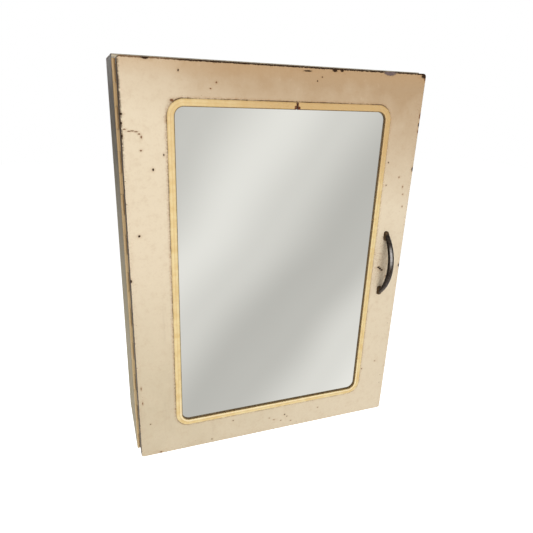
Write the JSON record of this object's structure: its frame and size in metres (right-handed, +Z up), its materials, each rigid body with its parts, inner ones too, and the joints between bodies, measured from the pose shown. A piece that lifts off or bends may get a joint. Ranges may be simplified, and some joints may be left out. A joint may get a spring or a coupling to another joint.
{
  "type": "medicine cabinet with mirror",
  "caption": "Wall-hung enamelled steel medicine cabinet: shallow shelved box, overlay door on a full-length hinge, rounded framed mirror, bow handle.",
  "frame": {"origin": "centre of the back panel's outer face, which lies against the wall", "axes": "+Z up, +X to the right of a person facing the cabinet, +Y into the wall, so the door faces -Y"},
  "size_m": [0.4072, 0.165, 0.537],
  "materials": {
    "door_enamel": "aged cream enamel, satin gloss, chipped and rust-specked",
    "body_enamel": "aged cream enamel, dulled and dirty",
    "bead_plastic": "yellowed, soft gloss",
    "mirror_glass": "silvered glass",
    "hardboard": "brown hardboard",
    "aged_bronze": "dark tarnished, rubbed to grey on the bow",
    "bare_steel": "dull zinc-plated",
    "buffer_rubber": "aged rubber",
    "magnet_ferrite": "sintered ferrite",
    "catch_plastic": "yellowed ivory"
  },
  "bodies": {
    "cabinet": {"side_panel_left": "body_enamel", "side_panel_right": "body_enamel", "top_panel": "body_enamel", "bottom_panel": "body_enamel", "back_panel": "body_enamel", "hanger_plate_left": "bare_steel", "hanger_plate_right": "bare_steel", "shelf_lower": "body_enamel", "shelf_upper": "body_enamel", "shelf_ledge_lower_left": "body_enamel", "shelf_ledge_lower_right": "body_enamel", "shelf_ledge_upper_left": "body_enamel", "shelf_ledge_upper_right": "body_enamel", "hinge_leaf_body": "body_enamel", "hinge_pin": "bare_steel", "catch_housing": "catch_plastic", "catch_magnet": "magnet_ferrite", "catch_pole_lower": "bare_steel", "catch_pole_upper": "bare_steel", "catch_screw_lower": "bare_steel", "catch_screw_upper": "bare_steel", "door_buffer_lower": "buffer_rubber", "door_buffer_upper": "buffer_rubber"},
    "door": {"door_skin": "door_enamel", "door_back_cover": "door_enamel", "mirror_glass": "mirror_glass", "mirror_backing_board": "hardboard", "mirror_bead": "bead_plastic", "mirror_clip_top": "bare_steel", "mirror_clip_bottom": "bare_steel", "mirror_clip_left_upper": "bare_steel", "mirror_clip_left_lower": "bare_steel", "mirror_clip_right_upper": "bare_steel", "mirror_clip_right_lower": "bare_steel", "handle": "aged_bronze", "handle_screw_lower": "bare_steel", "handle_screw_upper": "bare_steel", "cover_screw_top_left": "bare_steel", "cover_screw_top_right": "bare_steel", "cover_screw_bottom_left": "bare_steel", "cover_screw_bottom_right": "bare_steel", "catch_strike": "bare_steel", "strike_screw_lower": "bare_steel", "strike_screw_upper": "bare_steel", "hinge_leaf_door": "body_enamel"}
  },
  "joints": [
    {"name": "door_hinge", "type": "hinge", "parent": "cabinet", "child": "door", "pos_m": [-0.20195, -0.1202, -0.001], "axis": [0, 0, -1], "range_deg": [0, 175]}
  ]
}
